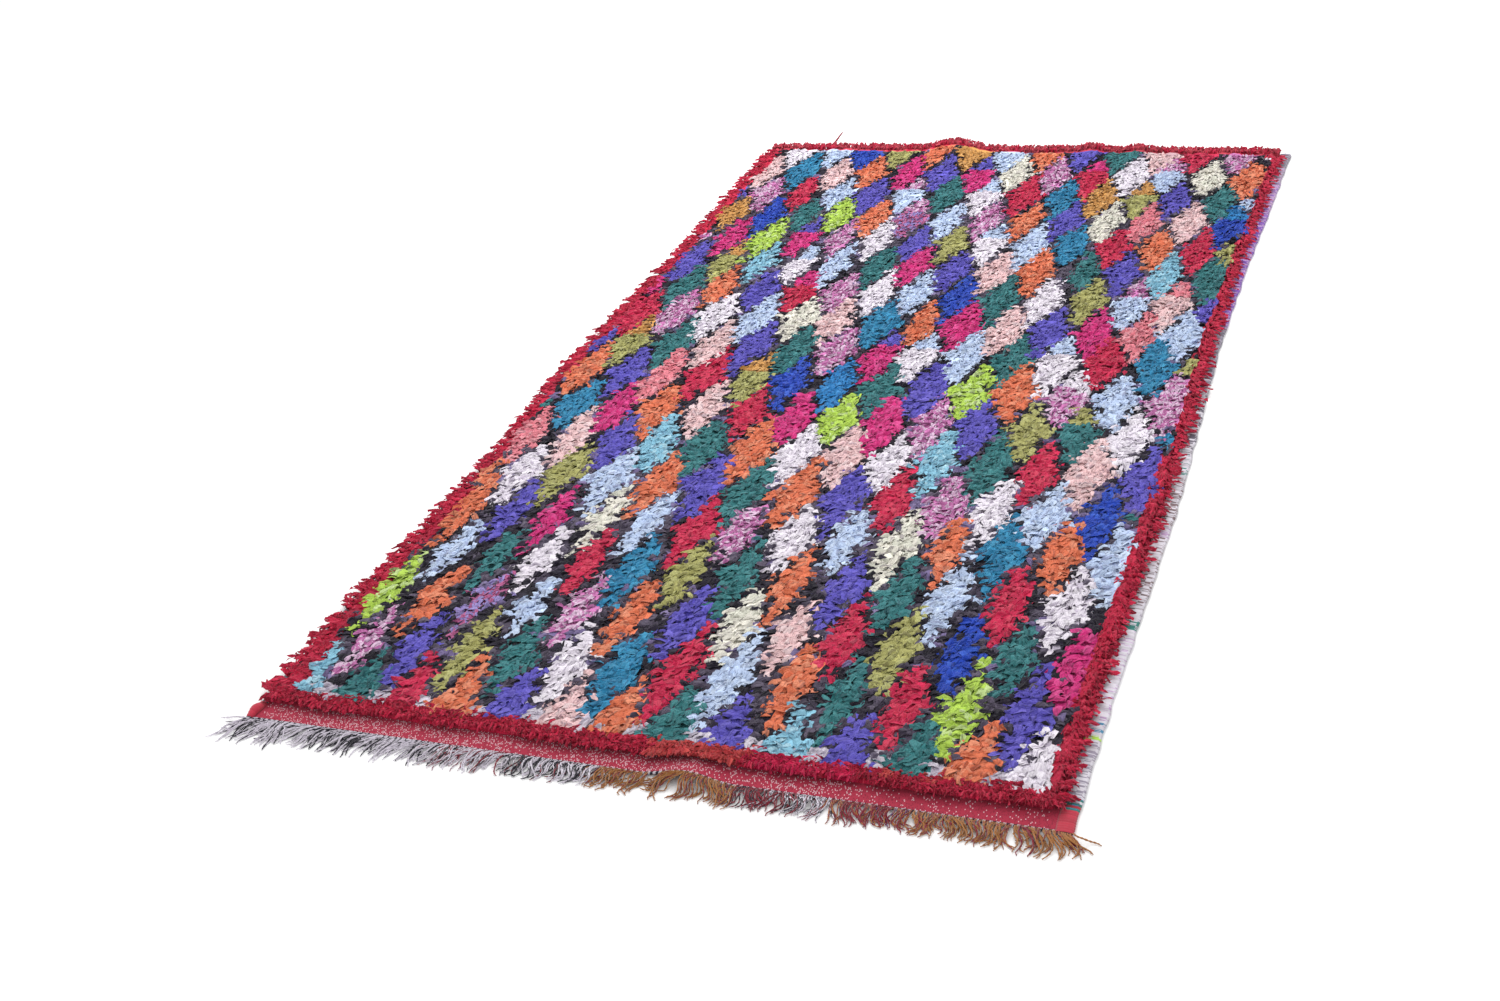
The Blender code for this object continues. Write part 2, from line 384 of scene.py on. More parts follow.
def painted(name, roughness, sheen, wrinkle, depth):
    """A finish whose colour is painted face by face, as the rags and yarns of a weave change."""
    finish = Finish(name, roughness, sheen)
    colour = finish.painted_on("rag_colour").outputs["Color"]
    fibres = finish.noise(wrinkle, detail=3.0)
    # Painted shade: the colour is darkened towards near black where the fibre noise is high
    tone = finish.mixed(fibres * FIBRE_SHADE_SHARE, colour, FIBRE_GAP_SHADE)
    finish.feed(finish.shader.inputs["Base Color"], tone)
    finish.raised(fibres, depth, strength=0.5)
    return finish


def paint_faces(piece, colours, count, rows, columns):
    """Colours each face of a piece that is made of like grids, and lays each grid out by itself."""
    tint = np.ones((len(colours), 4), np.float32)
    tint[:, :3] = colours
    layer = piece.data.attributes.new("rag_colour", "FLOAT_COLOR", "CORNER")
    layer.data.foreach_set("color", np.repeat(tint, 4, axis=0).ravel())
    cells = math.ceil(math.sqrt(count))
    row, place = np.divmod(np.arange(rows * columns), columns)
    corners_x = (place[:, None] + np.array((0, 1, 1, 0))) / columns
    corners_y = (row[:, None] + np.array((0, 0, 1, 1))) / rows
    cell_y, cell_x = np.divmod(np.arange(count)[:, None, None], cells)
    spread = np.stack((cell_x + 0.1 + 0.8 * corners_x, cell_y + 0.1 + 0.8 * corners_y), -1)
    layout = piece.data.uv_layers.new(name="OFBake")
    layout.data.foreach_set("uv", (spread / cells).astype(np.float32).ravel())
    run = np.concatenate((spread, np.zeros(spread.shape[:-1] + (1,))), -1)
    layer = piece.data.attributes.new("rag_run", "FLOAT_VECTOR", "CORNER")
    layer.data.foreach_set("vector", run.astype(np.float32).ravel())


def wrapped_edge(edge, wefts):
    """A side edge: a flat cord along the cloth, ribbed where each weft goes round it."""
    ribs = int(CLOTH_LENGTH / RIB_PITCH)
    stations = ribs * RIB_STATIONS + 1
    along = np.linspace(0.0, CLOTH_LENGTH, stations)[:, None]
    around = np.linspace(0.0, 2.0 * math.pi, EDGE_SIDES, endpoint=False)[None, :]
    size = dice.uniform(0.7, 1.3, ribs + 1)[np.arange(stations) // RIB_STATIONS][:, None]
    swell = np.abs(np.sin(math.pi * ribs * along / CLOTH_LENGTH + 0.5 * np.cos(around)))
    swell = RIB_HEIGHT * size * (swell - 0.6)
    half_width = (edge[1] - edge[0]) / 2
    on_left = edge[0] < CLOTH_WIDTH / 2
    lump = on_left * CORNER_LUMP * np.exp(-(((along - LUMP_PLACE) / LUMP_REACH) ** 2))
    waver = EDGE_WAVER * waves(edge[0], along, seed=51, shortest=0.05, longest=0.12)
    across = (edge[0] + edge[1]) / 2 + waver + np.cos(around) * (half_width + swell + lump / 3)
    height = (EDGE_THICKNESS + lump) / 2 * (1.0 + np.sin(around))
    height += np.maximum(np.sin(around), 0.0) * swell
    points = on_cloth(across, np.broadcast_to(along, across.shape), np.maximum(height, CORD_LOWEST))
    starts = np.array([row[0] for row in wefts])
    shifted = np.arange(ribs) * RIB_PITCH + dice.normal(0.0, WEFT_DRIFT, ribs)
    rows = np.maximum(np.searchsorted(starts, shifted, "right") - 1, 0)
    facets = RIB_STATIONS * EDGE_SIDES
    colours = np.empty((ribs, facets, 3))
    for k, row in enumerate(rows):
        first, second, share = wefts[row][1:]
        flecks = dice.uniform(0.0, 1.0, (facets, 1)) < share * dice.uniform(0.2, 1.8)
        colours[k] = np.where(flecks, WEFT_RAGS[second], WEFT_RAGS[first])
    colours *= dice.uniform(0.8, 1.1, (ribs, 1, 1))
    return points, colours.reshape(-1, 3)


def side_edges():
    left_points, left_colours = wrapped_edge(LEFT_EDGE, LEFT_WEFTS)
    right_points, right_colours = wrapped_edge(RIGHT_EDGE, RIGHT_WEFTS)
    stations = len(left_points)
    one = grid_faces(stations, EDGE_SIDES, closed=True)[..., ::-1].reshape(-1, 4)
    faces = np.concatenate((one, one + stations * EDGE_SIDES))
    finish = painted("side_edge_rags", roughness=0.85, sheen=0.2, wrinkle=500.0, depth=0.0008)
    points = np.concatenate((left_points, right_points))
    piece = make_piece("side_edges", points, faces, finish)
    paint_faces(piece, np.concatenate((left_colours, right_colours)), 2, stations - 1, EDGE_SIDES)
    return piece


edges = side_edges()

# The end band: the first few centimetres off the loom, a plain weave of red wool beaten so
# tight that the warps show only as white specks. A twined cord of black and white wool holds
# its last weft where the warp ends leave it.
BAND_WIDTH = 0.0500
BAND_THICKNESS = 0.0036
BAND_PROUD = 0.0010
BAND_COLUMNS = 1100
BAND_ROWS = 22
WEFT_BUMP = 0.0005
TURNED_IN = 0.0008  # how low the band's edges are
TWINED_ROWS = 1
TWINE_STITCH = 4
DARK_SHARE = 0.16
BAND_RED = (0.440, 0.020, 0.056)
BAND_DARK = (0.270, 0.012, 0.036)
SPECK = (0.800, 0.600, 0.660)
TWINE_PALE = (0.600, 0.560, 0.620)
TWINE_DARK = (0.020, 0.016, 0.030)
SPECKS = (  # distance across, share of the gaps between wefts that show a white warp
    (0.00, 0.000),
    (0.03, 0.108),
    (0.06, 0.288),
    (0.45, 0.288),
    (0.50, 0.180),
    (0.56, 0.252),
    (0.76, 0.288),
    (0.84, 0.180),
    (0.98, 0.252),
    (1.04, 0.108),
    (1.20, 0.072),
    (1.35, 0.036),
)


def end_band():
    across = np.linspace(-BAND_PROUD, CLOTH_WIDTH + BAND_PROUD, BAND_COLUMNS)
    along = np.linspace(0.0, BAND_WIDTH, BAND_ROWS)
    u, v = np.meshgrid(across, along)
    row, place = np.indices(u.shape)
    height = BAND_THICKNESS + np.where((row + place) % 2, WEFT_BUMP, -WEFT_BUMP)
    height[0] = TURNED_IN
    height[:, (0, -1)] = TURNED_IN
    v[1] = TURNED_IN / 2
    v[0] += TURNED_IN
    finish = painted("end_band_weave", roughness=0.85, sheen=0.15, wrinkle=900.0, depth=0.0004)
    piece = make_piece("end_band", on_cloth(u, v, height), grid_faces(*u.shape), finish)
    face_row, face_place = np.indices((BAND_ROWS - 1, BAND_COLUMNS - 1))
    middle = across[face_place]
    gaps = (face_row + face_place) % 2 == 0
    shown = gaps & (dice.uniform(0.0, 1.0, middle.shape) < column(SPECKS, middle, 1))
    colours = np.where(shown[..., None], SPECK, BAND_RED)
    dark = dice.uniform(0.0, 1.0, middle.shape) < DARK_SHARE
    colours = np.where((dark & ~shown)[..., None], BAND_DARK, colours)
    twine = np.where((face_place // TWINE_STITCH % 2)[..., None], TWINE_PALE, TWINE_DARK)
    colours = np.where((face_row <= TWINED_ROWS)[..., None], twine, colours)
    paint_faces(piece, colours.reshape(-1, 3), 1, BAND_ROWS - 1, BAND_COLUMNS - 1)
    return piece


band = end_band()

# The pile: rag strips cut from worn clothes, each knotted round two warps so that its two ends
# stand up, lean towards the fringed end and lie crumpled over the next rows. The weaver's
# chart is one of half-dropped diamonds in odd rag colours, parted by lines of dark rag.
KNOT_PITCH = 0.0130
KNOT_ROW = 0.0156
DIAMOND_PITCH = 0.0942
DIAMOND_ROW = 0.1440
FIRST_ROW = 0.092
FIRST_COLUMN = 0.062
DIAMOND_SHIFT = 0.0030
PILE_START = 0.0450
PILE_LEFT = 0.0070
PILE_RIGHT = CLOTH_WIDTH - 0.0240
STATIONS = 5
STRIP_LEAN = math.radians(-30.0)
STRIP_LENGTH = 0.0250
STRIP_WIDTH = 0.0118
PILE_HEIGHT = 0.0170
ROOT_HEIGHT = 0.0080
BED_HEIGHT = 0.0142
BED_RIM = 0.0030
CRUMPLE = 0.0015
FOLD = 0.0018
TWIST = math.radians(9.0)
LOWEST = 0.0008
HIGHEST = 0.0255
PEAK = (0.40, 0.60)  # how far along a strip its highest place is
FOLDED_UP = 0.7  # share of the strips whose middle is folded up, and not down
TAPER = 0.34
GROUND_TAPER = 0.45
BEND = 0.12
SLANT = 0.0022
ROLL_STRIPS = 12  # strips to a knot in the near border, the other borders, and the field
EDGE_STRIPS = 5
COARSE_STRIPS = 2
FINE_STRIPS = 3
ZONES = {  # length, height, width and droop of the strips there, as shares of the field's
    "ground": (0.90, 0.96, 1.00, 1.0),
    "roll": (0.82, 1.00, 0.65, 1.0),
    "left": (1.00, 0.90, 1.20, 1.0),
    "right": (0.85, 0.90, 1.00, 1.0),
    "far": (0.50, 1.20, 1.00, 0.1),
}
STRIP_SIZE = (  # distance along, size of the strips there
    (0.00, 1.35),
    (1.20, 1.25),
    (1.40, 1.00),
    (2.58, 0.90),
)
FINER_FROM = 0.80
PLEATS = 2.6
# The colour of the painted shade in the pleats' creases and in the rags' fine wrinkles
CREASE_SHADE = (0.44, 0.40, 0.48)
LATTICE = (  # distance along, how much narrower than the lattice the diamonds are, their size
    (0.00, 1.18, 0.93),
    (0.25, 1.50, 0.93),
    (0.60, 1.48, 0.94),
    (0.80, 1.16, 0.94),
    (1.20, 1.14, 0.93),
    (1.65, 1.12, 0.92),
    (1.80, 1.24, 0.92),
    (2.15, 1.22, 0.92),
    (2.30, 1.12, 0.91),
    (2.58, 1.10, 0.90),
)
NARROWING = (  # distance across, how much of that narrowing there is
    (0.00, 1.30),
    (0.30, 1.10),
    (0.55, 0.70),
    (1.35, 0.70),
)
BORDERS = (  # distance along, width of the left border, width of the right border
    (0.00, 0.052, 0.032),
    (0.15, 0.050, 0.030),
    (0.30, 0.042, 0.028),
    (0.60, 0.034, 0.024),
    (1.20, 0.028, 0.018),
    (2.20, 0.030, 0.016),
    (2.58, 0.036, 0.020),
)
NEAR_BORDER = 0.0300
FAR_BORDER = 0.0330
RAGS = {  # basket, colour, second colour, strips in the second, facets in the second, width
    "A": ("blues", (0.270, 0.580, 0.740), (0.42, 0.70, 0.82), 0.2, 0.0, 1.0),
    "B": ("blues", (0.020, 0.070, 0.500), (0.04, 0.12, 0.62), 0.2, 0.0, 1.0),
    "E": ("blues", (0.024, 0.235, 0.430), (0.05, 0.31, 0.52), 0.3, 0.0, 1.1),
    "P": ("blues", (0.560, 0.690, 0.930), (0.62, 0.74, 0.93), 0.4, 0.0, 1.0),
    "S": ("blues", (0.024, 0.230, 0.560), (0.05, 0.30, 0.66), 0.2, 0.0, 1.0),
    "K": ("pinks", (0.880, 0.590, 0.590), (0.90, 0.68, 0.68), 0.3, 0.0, 1.0),
    "M": ("pinks", (0.680, 0.026, 0.210), (0.76, 0.07, 0.29), 0.3, 0.0, 1.0),
    "Z": ("pinks", (0.800, 0.230, 0.280), (0.86, 0.36, 0.40), 0.3, 0.0, 1.0),
    "R": ("reds", (0.600, 0.016, 0.076), (0.68, 0.045, 0.105), 0.3, 0.0, 1.1),
    "O": ("oranges", (0.780, 0.190, 0.088), (0.84, 0.29, 0.16), 0.3, 0.0, 1.1),
    "T": ("oranges", (0.660, 0.330, 0.090), (0.74, 0.40, 0.13), 0.3, 0.0, 0.9),
    "G": ("greens", (0.034, 0.186, 0.196), (0.06, 0.26, 0.27), 0.3, 0.0, 1.0),
    "L": ("greens", (0.460, 0.680, 0.090), (0.60, 0.78, 0.30), 0.2, 0.0, 1.1),
    "Y": ("greens", (0.430, 0.420, 0.140), (0.50, 0.50, 0.19), 0.3, 0.0, 1.0),
    "F": ("violets", (0.520, 0.130, 0.300), (0.34, 0.27, 0.60), 0.3, 0.4, 0.9),
    "I": ("violets", (0.580, 0.180, 0.430), (0.82, 0.58, 0.76), 0.2, 0.35, 0.8),
    "V": ("violets", (0.120, 0.098, 0.520), (0.16, 0.13, 0.60), 0.3, 0.0, 1.0),
    "C": ("whites", (0.860, 0.830, 0.720), (0.78, 0.78, 0.66), 0.3, 0.0, 1.0),
    "H": ("whites", (0.500, 0.450, 0.540), (0.68, 0.63, 0.71), 0.4, 0.2, 0.9),
    "W": ("whites", (0.900, 0.840, 0.920), (0.93, 0.88, 0.94), 0.3, 0.0, 1.0),
    "black": ("blacks", (0.009, 0.006, 0.016), (0.020, 0.014, 0.032), 0.4, 0.0, 1.12),
    "grey": ("greys", (0.064, 0.050, 0.082), (0.115, 0.094, 0.140), 0.35, 0.1, 1.12),
    "mauve": ("greys", (0.180, 0.140, 0.290), (0.250, 0.200, 0.380), 0.3, 0.0, 1.05),
    "crimson": ("border", (0.600, 0.013, 0.058), (0.680, 0.026, 0.078), 0.4, 0.0, 0.68),
    "wine": ("border", (0.480, 0.011, 0.046), (0.580, 0.018, 0.062), 0.4, 0.0, 0.68),
    "brick": ("border", (0.580, 0.048, 0.056), (0.640, 0.080, 0.074), 0.4, 0.0, 1.10),
    "faded": ("border", (0.580, 0.050, 0.085), (0.660, 0.080, 0.115), 0.4, 0.0, 0.68),
    "carmine": ("border", (0.600, 0.006, 0.068), (0.680, 0.015, 0.086), 0.4, 0.0, 0.82),
}
BORDER_RAGS = (  # distance across from which the near border is tied in a rag, the rag, and others
    (0.00, "wine", "crimson", 0.3),
    (0.24, "crimson", "wine", 0.3),
    (0.70, "brick", "crimson", 0.1),
    (0.86, "carmine", "crimson", 0.2),
    (1.02, "wine", "brick", 0.3),
    (1.16, "crimson", "wine", 0.4),
)
SIDE_RAGS = ("crimson", "wine", 0.35)
FAR_RAGS = ("faded", "crimson", 0.3)
WHITE_REACH = 0.012  # the ground is whitish this far past the first row's middles
# Six rows of the weaver's chart, from the near end, a letter for each diamond
CHART = (
    "AGROVKOGVAVGOW",
    "IVYGWERPOGRLVM",
    "LOFPIOVCKRYBGM",
    "PGWREYGOVGPRWV",
    "OVMCPRIWPCOEOP",
    "WYPOVGOVRIWPBG",
)
# The rag that takes another's place when the chart is worked again further up the rug, and
# what a diamond goes on with where its own rag ran out
STAND_INS = dict(zip("ABCFGIKMOPRWYZ", "PSZIYWZVKIMPTK"))
CHART_ROWS = 19
CHART_PLACES = 18
CHART_SHIFT = 5  # places that the chart moves along each time it is worked again
STAND_IN_SHARE = 0.38
RAN_OUT_SHARE = 0.16
DARK_RAG = (  # distance along, share of black, share of grey, the rest being mauve
    (0.00, 0.25, 0.70),
    (0.30, 0.60, 0.37),
    (0.55, 0.65, 0.32),
    (0.68, 0.30, 0.60),
    (0.85, 0.20, 0.45),
    (0.97, 0.75, 0.15),
    (1.35, 0.80, 0.17),
    (1.70, 0.45, 0.50),
    (2.10, 0.30, 0.65),
    (2.30, 0.75, 0.23),
    (2.58, 0.85, 0.15),
)


def work_chart():
    """The rag of every diamond, row by row. No diamond takes the rag of one beside it."""
    worked = [["" for place in range(CHART_PLACES)] for row in range(CHART_ROWS)]
    for row in range(CHART_ROWS):
        again, line = divmod(row, len(CHART))
        letters = CHART[line]
        for place in range(CHART_PLACES):
            side = place + (1 if row % 2 else -1)
            near = {worked[row][place - 1], worked[row - 1][place], worked[row - 2][place]}
            near.add(worked[row - 1][side % CHART_PLACES])
            letter = letters[(place + CHART_SHIFT * again) % len(letters)]
            if again and dice.uniform() < STAND_IN_SHARE:
                letter = STAND_INS.get(letter, letter)
            step = 0
            while again and letter in near:
                step += 1
                letter = letters[(place + CHART_SHIFT * again + step) % len(letters)]
            worked[row][place] = letter
    return np.array(worked)


def diamond_at(across, along):
    """Row and place of the diamond that a knot is nearest to, and how near its edge the knot is."""
    uneven = np.random.default_rng(5).normal(0.0, 1.0, (3, CHART_ROWS, CHART_PLACES))
    u = across + 0.004 * waves(across, along, 31, 0.2, 0.6)
    v = along + 0.005 * waves(across, along, 32, 0.2, 0.6)
    narrow = 1.0 + (column(LATTICE, along, 1) - 1.0) * column(NARROWING, across, 1)
    best = np.full(across.shape, 9.0)
    row_found = np.zeros(across.shape, int)
    place_found = np.zeros(across.shape, int)
    far = np.zeros(across.shape)
    for row in range(CHART_ROWS):
        middle = FIRST_COLUMN + 0.5 * DIAMOND_PITCH * (row % 2)
        place = np.clip(np.rint((u - middle) / DIAMOND_PITCH).astype(int), -1, CHART_PLACES - 2)
        du = u - middle - place * DIAMOND_PITCH + DIAMOND_SHIFT * uneven[0][row][place]
        dv = v - FIRST_ROW - row * DIAMOND_ROW + 1.5 * DIAMOND_SHIFT * uneven[1][row][place]
        share = narrow * np.abs(du) / (DIAMOND_PITCH / 2) + np.abs(dv) / DIAMOND_ROW
        share = share + 0.03 * uneven[2][row][place]
        nearer = share < best
        best = np.where(nearer, share, best)
        row_found = np.where(nearer, row, row_found)
        place_found = np.where(nearer, place, place_found)
        far = np.where(nearer, dv / DIAMOND_ROW, far)
    return row_found, place_found, best, far


def lay_knots():
    """Every knot of the pile: its place on the cloth and the rag that it is tied from."""
    j, i = np.indices((KNOT_ROWS, KNOT_COLUMNS)).reshape(2, -1)
    across = PILE_LEFT + (i + 0.5) * (PILE_RIGHT - PILE_LEFT) / KNOT_COLUMNS
    along = PILE_START + (j + 0.5) * (CLOTH_LENGTH - PILE_START) / KNOT_ROWS
    row, place, share, far = diamond_at(across, along)
    share = share + dice.uniform(-0.04, 0.04, share.shape)
    tone = 0.5 + 0.4 * waves(across, along, 33, 0.05, 0.14) + dice.uniform(-0.15, 0.15, share.shape)
    black = column(DARK_RAG, along, 1)
    grey = black + column(DARK_RAG, along, 2)
    rag = np.where(tone < black, "black", np.where(tone < grey, "grey", "mauve")).astype(object)
    size = column(LATTICE, along, 2)
    rag[(share > size) & (along < FIRST_ROW + WHITE_REACH)] = "H"
    chart = work_chart()
    ran_out = dice.uniform(0.0, 1.0, chart.shape) < RAN_OUT_SHARE
    next_rag = np.vectorize(lambda letter: STAND_INS.get(letter, letter))(chart)
    inside = share < size
    rag[inside] = chart[row, place][inside]
    changed = inside & ran_out[row, place] & (far > 0.25) & (row >= len(CHART))
    rag[changed] = next_rag[row, place][changed]
    left = across < PILE_LEFT + column(BORDERS, along, 1)
    right = across > PILE_RIGHT - column(BORDERS, along, 2)
    near = along < PILE_START + NEAR_BORDER
    edge = left | right | near | (along > CLOTH_LENGTH - FAR_BORDER)
    starts = np.array([line[0] for line in BORDER_RAGS])
    for k in np.flatnonzero(edge):
        main, other, part = BORDER_RAGS[max(np.searchsorted(starts, across[k], "right") - 1, 0)][1:]
        if not near[k]:
            main, other, part = SIDE_RAGS
        if along[k] > CLOTH_LENGTH - FAR_BORDER:
            main, other, part = FAR_RAGS
        rag[k] = other if dice.uniform() < part else main
    return across, along, rag, edge


def strip_points(u, v, heading, length, width, height, droop, rounded):
    """Points of crumpled rag strips: five stations along each, three points across."""
    count = len(u)
    t = np.linspace(0.0, 1.0, STATIONS)[None, :]
    out = length[:, None] * t ** 1.15 * 0.9
    peak = dice.uniform(*PEAK, (count, 1))
    climb = 1.0 - (1.0 - np.minimum(t / peak, 1.0)) ** 2
    fall = np.maximum(t - peak, 0.0) / (1.0 - peak)
    rise = ROOT_HEIGHT + (height[:, None] - ROOT_HEIGHT) * climb
    rise -= height[:, None] * droop[:, None] * fall ** 1.4
    ahead = np.stack((np.sin(heading), -np.cos(heading)), -1)[:, None, :]
    beside = np.stack((np.cos(heading), np.sin(heading)), -1)[:, None, :]
    bend = dice.normal(0.0, BEND, (count, 1)) * length[:, None] * t ** 2
    twist = dice.normal(0.0, TWIST, (count, 1)) + dice.normal(0.0, TWIST, (count, 1)) * t
    ridge = np.where(dice.uniform(0.0, 1.0, (count, 1)) < FOLDED_UP, FOLD, -FOLD)
    ridge = ridge * dice.uniform(0.6, 1.5, (count, 1))
    fold = (ridge + dice.normal(0.0, CRUMPLE, (count, STATIONS))) * np.minimum(1.0, t * 4.0)
    tip = np.where(rounded, GROUND_TAPER, TAPER)[:, None] * np.maximum(t - 0.6, 0.0) / 0.4
    half = width[:, None] / 2 * (1.0 - 0.25 * dice.uniform(0.0, 1.0, (count, STATIONS)) * t - tip)
    half[:, 0] *= 0.7
    slant = dice.normal(0.0, SLANT, (count, 1)) * t
    points = np.empty((count, STATIONS, 3, 3))
    for k, side in enumerate((-1.0, 0.0, 1.0)):
        lift = side * half * np.sin(twist) + (fold if side == 0.0 else 0.0)
        forward = out + side * slant + dice.normal(0.0, CRUMPLE, (count, STATIONS)) * t
        sideways = side * half * np.cos(twist) + bend
        sideways = sideways + dice.normal(0.0, CRUMPLE * 0.6, (count, STATIONS))
        points[:, :, k, :2] = ahead * forward[..., None] + beside * sideways[..., None]
        points[:, :, k, 2] = rise + lift + dice.normal(0.0, CRUMPLE, (count, STATIONS)) * t
    points[..., 0] += u[:, None, None]
    points[..., 1] += v[:, None, None]
    z = np.clip(points[..., 2], LOWEST, HIGHEST)
    return on_cloth(points[..., 0], points[..., 1], z)


def tie_strips():
    """The points of every strip, and the letter or name of its rag."""
    roll = border & (along < PILE_START + NEAR_BORDER)
    plain = np.isin(rag, ("black", "grey", "mauve"))
    each = np.where(plain | (along < FINER_FROM), COARSE_STRIPS, FINE_STRIPS)
    each = np.where(roll, ROLL_STRIPS, np.where(border, EDGE_STRIPS, each))
    knot = np.repeat(np.arange(len(rag)), each)
    count = len(knot)
    first = np.cumsum(each) - each
    end = np.arange(count) - first[knot] - (each[knot] - 1) / 2
    u = across[knot] + end * KNOT_PITCH / each[knot] + dice.normal(0.0, 0.0012, count)
    v = along[knot] + dice.normal(0.0, 0.0018, count) + 0.003 * waves(u, along[knot], 42, 0.06, 0.2)
    kind = rag[knot]
    ground = plain[knot]
    edge = border[knot]
    left = edge & (u < 0.06) & (v > PILE_START + 0.02)
    right = edge & (u > CLOTH_WIDTH - 0.07) & (v > PILE_START + 0.02)
    far = edge & (v > CLOTH_LENGTH - FAR_BORDER)
    heading = STRIP_LEAN + 0.50 * waves(u, v, 41, 0.05, 0.15) + end * 0.20
    heading += np.where(v < FINER_FROM, 0.42, 0.28) * dice.normal(0.0, 1.0, count)
    roll = roll[knot]
    heading = np.where(roll, dice.normal(0.0, 1.0, count), heading)
    from_left = smooth_step((u - PILE_LEFT) / column(BORDERS, v, 1))
    from_right = smooth_step((PILE_RIGHT - u) / column(BORDERS, v, 2))
    fans = 0.5 * waves(0.0 * u, v, 44, 0.025, 0.05) + dice.normal(0.0, 0.18, count)
    heading = np.where(left, -1.30 + 0.6 * from_left + fans, heading)
    heading = np.where(right, 1.35 - 1.6 * from_right + dice.normal(0.0, 0.3, count), heading)
    heading = np.where(far, math.pi + dice.normal(0.0, 0.8, count), heading)
    size = np.where(edge, 1.0, column(STRIP_SIZE, v, 1))
    length = STRIP_LENGTH * np.sqrt(size) * dice.uniform(0.85, 1.15, count)
    tufts = 0.90 + 0.28 * waves(0.3 * u, v, 43, 0.02, 0.05) + 0.30 * (right & (v > 1.1))
    length *= np.where(left | right, tufts, 1.0)
    height = PILE_HEIGHT * dice.uniform(0.93, 1.07, count)
    droop = dice.uniform(0.04, 0.22, count)
    width = STRIP_WIDTH * size * dice.uniform(0.75, 1.1, count) * np.array([RAGS[k][5] for k in kind])
    zones = {"ground": ground, "roll": roll, "left": left, "right": right, "far": far}
    for zone, inside in zones.items():
        shares = ZONES[zone]
        length *= np.where(inside, shares[0], 1.0)
        height *= np.where(inside, shares[1], 1.0)
        width *= np.where(inside, shares[2], 1.0)
        droop *= np.where(inside, shares[3], 1.0)
    return strip_points(u, v, heading, length, width, height, droop, ground), kind


def strip_colours(kind):
    """A colour for each of a strip's facets: two facets side by side in each stretch."""
    count = len(kind)
    first = np.array([RAGS[k][1] for k in kind])[:, None, None, :]
    second = np.array([RAGS[k][2] for k in kind])[:, None, None, :]
    strip_share = np.array([RAGS[k][3] for k in kind])[:, None, None]
    facet_share = np.array([RAGS[k][4] for k in kind])[:, None, None]
    facets = (count, STATIONS - 1, 2)
    by_strip = dice.uniform(0.0, 1.0, (count, 1, 1)) < strip_share
    by_facet = dice.uniform(0.0, 1.0, facets) < facet_share
    colours = np.where((by_strip | by_facet)[..., None], second, first)
    return colours * dice.uniform(0.82, 1.08, (count, 1, 1, 1)) * dice.uniform(0.94, 1.04, facets + (1,))


def knot_bed():
    """The knotted feet of the strips, packed into one bed with a face for each knot."""
    u, v = np.meshgrid(
        np.linspace(PILE_LEFT, PILE_RIGHT, KNOT_COLUMNS + 1),
        np.linspace(PILE_START, CLOTH_LENGTH, KNOT_ROWS + 1),
    )
    z = BED_HEIGHT + dice.normal(0.0, 0.0016, u.shape)
    z[(0, -1), :] = BED_RIM
    z[:, (0, -1)] = BED_RIM
    inner = (slice(1, -1), slice(1, -1))
    u[inner] += dice.normal(0.0, 0.0020, u[inner].shape)
    v[inner] += dice.normal(0.0, 0.0022, v[inner].shape)
    bed = make_piece("knot_bed", on_cloth(u, v, z), grid_faces(*u.shape), rag_cloth)
    bed.data.shade_flat()
    # Painted light: the bed's colours are made up to 1.3 times lighter than its rags', against the shade
    # that the strips above cast on it
    tint = np.array([RAGS[letter][1] for letter in rag])
    paint_faces(bed, tint * dice.uniform(1.0, 1.3, (len(tint), 1)), 1, KNOT_ROWS, KNOT_COLUMNS)
    return bed


KNOT_ROWS = int((CLOTH_LENGTH - PILE_START) / KNOT_ROW)
KNOT_COLUMNS = int((PILE_RIGHT - PILE_LEFT) / KNOT_PITCH)
rag_cloth = Finish("rag_cloth", roughness=0.85, sheen=0.06)
run = rag_cloth.painted_on("rag_run").outputs["Vector"]
pleats = rag_cloth.noise(1.0, 2.0, (PLEATS, 0.8, 1.0), run)
wrinkles_and_shade = rag_cloth.noise(420.0, 3.0, (1.0, 0.4, 0.7))
rag_tone = rag_cloth.painted_on("rag_colour").outputs["Color"]
# Painted shade: the colour is darkened in the narrow creases of the pleats and, more lightly, in the
# fine wrinkles, whose noise also raises the bump
crease_shade_share = rag_cloth.node("MapRange", {}, {"Value": pleats, "From Min": 0.45, "From Max": 0.38})
rag_tone = rag_cloth.shaded(rag_tone, Value(rag_cloth, crease_shade_share.outputs["Result"]) * 0.75, CREASE_SHADE)
rag_tone = rag_cloth.shaded(rag_tone, wrinkles_and_shade * 0.3, CREASE_SHADE)
rag_cloth.feed(rag_cloth.shader.inputs["Base Color"], rag_tone)
rag_cloth.raised(pleats * 3.0 + wrinkles_and_shade, distance=0.0050, strength=0.85)
across, along, rag, border = lay_knots()
strips, kind = tie_strips()
tints = strip_colours(kind)
basket = np.array([RAGS[k][0] for k in kind])
pile_pieces = [knot_bed()]
for name in dict.fromkeys(row[0] for row in RAGS.values()):
    mine = basket == name
    count = int(mine.sum())
    one = grid_faces(STATIONS, 3).reshape(1, -1, 4)
    faces = one + STATIONS * 3 * np.arange(count)[:, None, None]
    slot = "border_rag" if name == "border" else "rag_pile"
    piece = make_piece("pile_" + name, strips[mine], faces, rag_cloth)
    piece.data.shade_flat()
    paint_faces(piece, tints[mine].reshape(-1, 3), count, STATIONS - 1, 2)
    pile_pieces.append(piece)

